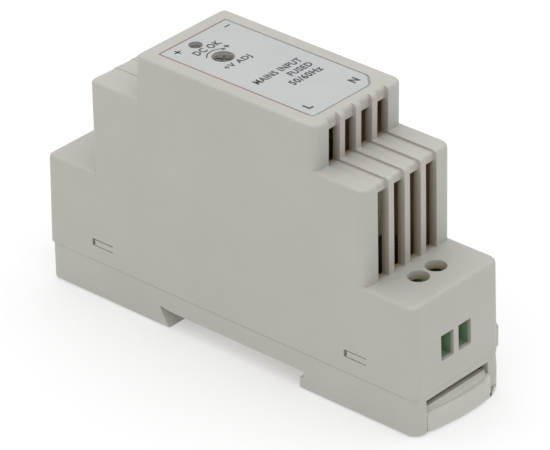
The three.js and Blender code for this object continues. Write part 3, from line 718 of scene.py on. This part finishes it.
# The lip's edge seen from above, as X at stations of Y: its foot, and its rim.
LIP_FOOT = ((-9.12, 45.0), (-8.3, 45.3), (-7, 45.6), (-4.5, 45.97), (-1.2, 46.4), (2.5, 46.5),
            (5.6, 46.34), (7.4, 46.06), (8.04, 45.9))
LIP_RIM = ((-9.12, 44.9), (-8.3, 45.2), (-7, 45.5), (-4.5, 45.84), (-1.2, 46.25), (2.5, 46.38),
           (5.6, 46.22), (7.4, 45.85), (8.04, 45.55))
LIP_TOP = ((-9.12, 4.05), (-7, 4.2), (5.5, 4.25), (7.2, 4.5), (8.04, 4.65))
LIP_BACK_X = 43.5
SCOOP_END = (44.35, 5.2)


def along(stations, y):
    """The value at y on a chain of (y, value) stations."""
    for (y0, v0), (y1, v1) in zip(stations, stations[1:]):
        if y <= y1:
            return v0 + (v1 - v0) * (y - y0) / (y1 - y0)
    return stations[-1][1]


def lip_section(y):
    """The lip's profile at y: a round foot, a thin rim and a scoop for a screwdriver behind it."""
    foot, rim, top = along(LIP_FOOT, y), along(LIP_RIM, y), along(LIP_TOP, y)
    profile = [(LIP_BACK_X, 0.15), (foot - 0.3, 0.15), (foot - 0.06, 0.25), (foot, 0.5),
               (rim + 0.04, top - 0.85), (rim - 0.01, top - 0.5), (rim - 0.13, top - 0.22),
               (rim - 0.33, top - 0.05), (rim - 0.58, top), (rim - 0.8, top - 0.06)]
    profile += arc(profile[-1], (min(rim - 1.3, 44.8), top - 0.08), SCOOP_END, 7)
    return profile + [(LIP_BACK_X, SCOOP_END[1])]


def make_latch():
    rings = []
    for i in range(LIP_STEPS + 1):
        y = LIP_Y[1] - (LIP_Y[1] - LIP_Y[0]) * i / LIP_STEPS
        rings.append([(px, y, pz) for px, pz in lip_section(y)])
    lip = loft(rings)
    foot = prism([(44.3, 7), (46.12, 7), (46.06, 7.4), (45.86, 8.2), (45.6, 9.0), (45.3, 9.8),
                  (45.0, 10.25), (44.7, 10.4), (44.3, 10.4)], (0.15, 1.0))
    plate = slab([(15.75, 1.5), (17.95, 0.35), (44.8, 0.35), (44.8, 3.3), (19.15, 3.3),
                  (18.15, 2.4), (15.75, 2.4)], (-8.75, 7.95))
    flanges = box((20, 34.5), (-9.75, 8.95), (2.1, 3.3))
    tongue = box((42.5, 43.9), (-8.45, 7.65), (2.3, 4.85))
    spring_window = box((22, 36), (-2.6, 1.8), (-PAST, 8))
    body = cut(join(plate, flanges, tongue, lip, foot), spring_window)
    piece(body, "latch_slider", LATCH, "latch", ["rail_latch"], soften=0.09,
          crease=40, chosen=lambda point: not 43.3 < point.x < 44.1 and point.z > 0.3)


def make_spring():
    """A compression spring between the latch's window and the base's post."""
    start, length, turns, centre_y, centre_z = 22.45, 11.28, 10, -0.4, 1.845
    coil, wire, steps, sides = 1.12, 0.17, 20, 8
    closed, closed_length = 0.07, 0.45  # the share of the wire and the length of each closed end
    count = turns * steps
    rings = []
    for i in range(count + 1):
        t = i / count
        angle = 2 * math.pi * turns * t
        if t < closed:
            x = closed_length * t / closed
        elif t > 1 - closed:
            x = length - closed_length * (1 - t) / closed
        else:
            x = closed_length + (length - 2 * closed_length) * (t - closed) / (1 - 2 * closed)
        out = Vector((0, math.cos(angle), math.sin(angle)))
        middle = Vector((start + x, centre_y, centre_z)) + out * coil
        ring = []
        for k in range(sides):
            a = 2 * math.pi * k / sides
            along_x = Vector((wire * math.sin(a), 0, 0))
            ring.append(tuple(middle + out * (wire * math.cos(a)) + along_x))
        rings.append(ring)
    spring = piece(loft(rings), "return_spring", SPRING, "case", ["latch_spring"],
                   soften=0)
    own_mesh(spring)


# ---- terminals -----------------------------------------------------------------------------------
def make_terminal(name, side):
    """A two-pole block: for each pole a mouth, a wire chamber, a screw well and a contact slot."""
    out = 1 if side else -1
    end = COVER_X[side]

    def depth(near, far):
        return (end - out * near, end - out * far)

    middle, half, notch = sum(POLE_Y) / 2, 5.3, 0.35
    block = box(depth(1.85, 11.5), (middle - half, middle + half), (10.9, TERMINAL_TOP))
    mouths = []
    for y in POLE_Y:
        near, far = window_span(y)
        mouths.append(box(depth(WINDOW_WALL + 0.06, 2.4), (near - 0.35, far + 0.35),
                          (12.55, 18.65)))
    block = join(block, *mouths)
    cutters = []
    for y in POLE_Y:
        cutters += [
            box(depth(0, 5.2), window_span(y), (WINDOW_Z[0] - 0.1, WINDOW_Z[1] + 0.05)),
            box(depth(4.95, 10.15), (y - 2.1, y + 2.1), (11.4, 22.4)),
            rod((SCREW_X[side], y), 2.1, (21.9, TERMINAL_TOP + 1)),
            rod((SCREW_X[side], y), 2.27, (TERMINAL_TOP - 0.7, TERMINAL_TOP + 1)),
            box(depth(9.5, 11.15), (y - 1.2, y + 1.2), (9.9, 15.8)),
        ]
    for y in (middle - half, middle + half):
        cutters.append(box(depth(1, 2.15), (y - notch, y + notch), (10, 26)))
    piece(cut(block, *cutters), name + "_block", TERMINAL, "case",
          [name + "_terminal_block"], soften=0.08, chosen=lambda point: point.z > 23)


# ---- light, trimmer and what shows through the vents -------------------------------------------
def make_indicator():
    """A light pipe with a flange at its foot and a domed end."""
    body = lathe(LED_XY, ((1.75, 48.7), (1.75, 49.6), (1.74, 49.7), (1.2, 49.72), (1.19, 54.5),
                          (1.12, 54.95), (0.93, 55.3), (0.66, 55.52), (0.34, 55.64),
                          (0.05, 55.67)), 32)
    piece(body, "status_lens", LED_LENS, "case", ["status_led"], soften=0)


def make_dial():
    """The trimmer's rotor, with a crossed slot for a screwdriver."""
    dial = lathe(TRIMMER_XY, ((1.95, 52.9), (1.95, 54.85), (1.82, 55.0), (1.5, 55.02), (1.44, 55.3),
                              (1.3, 55.42), (0.05, 55.44)), 48)
    long, wide = (-1.25, 1.25), (-0.24, 0.24)
    slot = box(long, wide, (55.12, 56))
    cross = box(wide, long, (55.24, 56))
    turn = Matrix.Rotation(math.radians(32), 4, "Z")
    for cutter in (slot, cross):
        cutter.data.transform(Matrix.Translation((*TRIMMER_XY, 0)) @ turn)
    piece(cut(dial, slot, cross), "trimmer_dial", ROTOR, "trimmer",
          ["trimmer_rotor"], soften=0)


def make_liners():
    """A card along the far wall, and a barrier beside the line choke."""
    card = slab([(6, 11.2), (31.2, 11.2), (31.2, 44.6), (19.4, 44.6), (19.4, 52.4), (6, 52.4)],
                (10.22, 10.4))
    piece(card, "side_liner", KRAFT, "case", soften=0)
    barrier = box((19.5, 19.9), (4.95, 8.6), (21.3, 36.4))
    piece(barrier, "choke_barrier", SHEET, "case", soften=0.08)


# ---- label ---------------------------------------------------------------------------------------
def make_label():
    through = (LABEL_FILM[0] - 1, LABEL_FILM[1] + 1)
    sheet = cut(prism(label_outline(0), LABEL_FILM), rod(LED_XY, LED_HOLE, through),
                rod(TRIMMER_XY, TRIMMER_HOLE, through))
    piece(sheet, "label_film", LABEL, "case", ["front_label"], soften=0.03,
          segments=1)


def ribbon(points, width):
    """Vertices and faces of a flat strip of ink along a chain of points in X and Y."""
    path = [Vector(point) for point in points]
    verts, faces = [], []
    for i, here in enumerate(path):
        before, after = path[max(i - 1, 0)], path[min(i + 1, len(path) - 1)]
        way = (after - before).normalized()
        across = Vector((-way.y, way.x)) * width / 2
        for z in INK_Z:
            verts += [(here.x + across.x, here.y + across.y, z),
                      (here.x - across.x, here.y - across.y, z)]
    for i in range(len(path) - 1):
        a, b = 4 * i, 4 * (i + 1)
        faces += [(a + 2, a + 3, b + 3, b + 2), (a, b, b + 1, a + 1), (a, a + 2, b + 2, b),
                  (a + 1, b + 1, b + 3, a + 3)]
    last = 4 * (len(path) - 1)
    return verts, faces + [(0, 1, 3, 2), (last, last + 2, last + 3, last + 1)]


def lettering(text, x, span, height, weight=0.034):
    """Vertices and faces of a word that reads along +Y, centred on x and fitted to the span."""
    data = bpy.data.curves.new("word", "FONT")
    data.body = text
    data.extrude = 0.5
    data.space_character = 1.12
    data.offset = weight
    data.resolution_u = 3
    holder = new_object("word", data)
    solid = evaluated(holder)
    mesh = solid.to_mesh()
    points = [vert.co.copy() for vert in mesh.vertices]
    faces = [tuple(face.vertices) for face in mesh.polygons]
    solid.to_mesh_clear()
    bpy.data.objects.remove(holder)
    low = [min(point[axis] for point in points) for axis in range(3)]
    high = [max(point[axis] for point in points) for axis in range(3)]
    verts = []
    for point in points:
        across, up, rise = ((point[axis] - low[axis]) / (high[axis] - low[axis])
                            for axis in range(3))
        verts.append((x + height * (0.5 - up), span[0] + (span[1] - span[0]) * across,
                      INK_Z[0] + (INK_Z[1] - INK_Z[0]) * rise))
    return verts, faces


def printed(parts, name, look):
    """One object of several prints."""
    verts, faces = [], []
    for part_verts, part_faces in parts:
        start = len(verts)
        verts += part_verts
        faces += [tuple(start + i for i in face) for face in part_faces]
    mesh = bpy.data.meshes.new(name)
    mesh.from_pydata([tuple(c * MM for c in vert) for vert in verts], [], faces)
    mesh.materials.append(look)
    obj = new_object(name, mesh)
    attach(obj, "case")


def plus_sign(centre, half, width):
    x, y = centre
    return [ribbon([(x, y - half), (x, y + half)], width),
            ribbon([(x - half, y), (x + half, y)], width)]


def make_print():
    cx, cy = TRIMMER_XY
    sweep = [math.radians(angle) for angle in range(232, 118, -6)]
    turn = [(cx + 3.0 * math.cos(a), cy + 3.0 * math.sin(a)) for a in sweep]
    tip = Vector(turn[-1])
    minus = [ribbon([(-16.8, 6.5), (-16.8, 7.9)], 0.34)]
    words = [
        lettering("DC OK", -13.7, (-5.1, 1.6), 1.8),
        lettering("+V ADJ", -5.6, (-5.6, 1.2), 1.85),
        lettering("MAINS INPUT", 2.2, (-6.4, 5.9), 1.75),
        lettering("FUSED", 4.75, (0.0, 6.0), 1.7),
        lettering("50/60Hz", 7.3, (-2.4, 5.8), 1.85),
        lettering("N", 15.1, (5.1, 6.8), 1.9, 0.045),
        lettering("L", 15.3, (-7.5, -6.2), 1.9, 0.045),
    ]
    arrow = [ribbon(turn, 0.26),
             ribbon([tip + Vector((-0.75, -0.35)), tip, tip + Vector((-0.1, -0.85))], 0.26)]
    plus = plus_sign((-16.7, -6.45), 0.8, 0.36)
    more = plus_sign((-11.5, 1.1), 0.65, 0.3)
    printed(words + plus + minus + more + arrow, "label_lettering", INK)
    margin = 0.1
    x0, x1 = LABEL_X[0] + margin, LABEL_X[1] - margin
    y0, y1 = LABEL_Y[0] + margin, LABEL_Y[1] - margin
    printed([ribbon([(x1 - 1, y0), (x0, y0)], 0.17), ribbon([(x0, y0), (x0, y1)], 0.17)],
            "label_border_red", RED_INK)
    # Painted shadow: a grey line along the label's +X and +Y edges, under the recess wall.
    printed([ribbon(label_outline(-margin)[1:], 0.15)], "label_painted_edge_shadow", PAINTED_EDGE_SHADOW)


make_cover()
make_base()
make_latch()
make_spring()
make_terminal("input", 1)
make_terminal("output", 0)
make_indicator()
make_dial()
make_liners()
make_label()
make_print()

# ---- the CAD nodes' finishes -----------------------------------------------------------------
NODE_LOOKS = {
    "cover": HOUSING, "front_label": LABEL, "base": HOUSING, "rail_latch": LATCH,
    "latch_spring": SPRING, "main_board": LAMINATE, "front_board": LAMINATE,
    "riser_board": LAMINATE, "insulation_sheet": SHEET, "status_led": LED_LENS,
    "trimmer_body": TRIMMER, "trimmer_rotor": ROTOR, "transformer_core": FERRITE,
    "transformer_bobbin": BLACK, "transformer_winding": TAPE, "bulk_capacitor": SLEEVE,
    "bridge_rectifier": BLACK, "x_capacitor": FILM_BOX, "line_choke_core": FERRITE,
    "line_choke_winding": COPPER, "input_fuse": BLACK, "inrush_thermistor": THERMISTOR,
    "switch_transistor": BLACK, "transistor_heatsink": ALUMINIUM, "output_capacitor_a": SLEEVE,
    "output_capacitor_b": SLEEVE, "output_choke": FERRITE, "output_diode": BLACK,
    "output_heatsink": ALUMINIUM, "optocoupler": BLACK, "controller_chip": BLACK,
    "y_capacitor": DISC, "input_terminal_block": TERMINAL, "output_terminal_block": TERMINAL,
}
for name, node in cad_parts.items():
    if "_clamp_" in name or "_contact_" in name:
        look = BRASS
    elif "_screw_" in name:
        look = STEEL
    else:
        look = NODE_LOOKS[name]
    for place in node.material_slots:
        place.material = look


# ---- camera, floor and light ---------------------------------------------------------------------
def direction(azimuth, elevation):
    """From the origin, with azimuth 0 on -Y and 90 on +X."""
    az, el = math.radians(azimuth), math.radians(elevation)
    return Vector((math.sin(az) * math.cos(el), -math.cos(az) * math.cos(el), math.sin(el)))


def aimed(obj, place, azimuth, elevation, roll=0.0):
    """Stands obj at a place, facing against the direction that the two angles give."""
    az, ro = math.radians(azimuth), math.radians(roll)
    back = direction(azimuth, elevation)
    level = Vector((math.cos(az), math.sin(az), 0))
    upright = back.cross(level)
    right = level * math.cos(ro) + upright * math.sin(ro)
    up = upright * math.cos(ro) - level * math.sin(ro)
    obj.matrix_world = Matrix.Translation(place) @ Matrix((right, up, back)).transposed().to_4x4()
    scene.collection.objects.link(obj)


def make_camera():
    """A long lens, from the input end's side and above."""
    data = bpy.data.cameras.new("camera")
    data.sensor_width = 36
    data.lens = 290.5
    data.clip_end = 10
    camera = bpy.data.objects.new("camera", data)
    place = Vector((0.47804, -0.52896, 0.43296))
    aimed(camera, place, azimuth=42.069, elevation=29.911, roll=-1.138)
    scene.camera = camera


def softbox(name, azimuth, elevation, distance, size, watts):
    data = bpy.data.lights.new(name, "AREA")
    data.shape = "DISK"
    data.size = size
    data.energy = watts
    lamp = bpy.data.objects.new(name, data)
    middle = Vector((0, 0, 0.025))
    aimed(lamp, direction(azimuth, elevation) * distance + middle, azimuth, elevation)


def make_floor():
    """A pale floor that glows a little, set just below the base so that they share no plane."""
    half, z = 6, -0.0002
    floor = mesh_from([(-half, -half, z), (half, -half, z), (half, half, z), (-half, half, z)],
                      [(0, 1, 2, 3)], "floor")
    n = Nodes("white floor")
    n.set(Base_Color=(0.6, 0.6, 0.6, 1), Roughness=0.9, Specular_IOR_Level=0.0,
          Emission_Color=(1, 1, 1, 1), Emission_Strength=0.38)
    floor.data.materials.append(n.material)


def make_world():
    world = bpy.data.worlds.new("studio")
    world.use_nodes = True
    background = world.node_tree.nodes["Background"]
    background.inputs["Color"].default_value = (1, 1, 1, 1)
    background.inputs["Strength"].default_value = 0.47
    scene.world = world


make_camera()
make_floor()
make_world()
softbox("overhead", azimuth=0, elevation=90, distance=2.0, size=5.0, watts=66)
scene.view_settings.view_transform = "Standard"
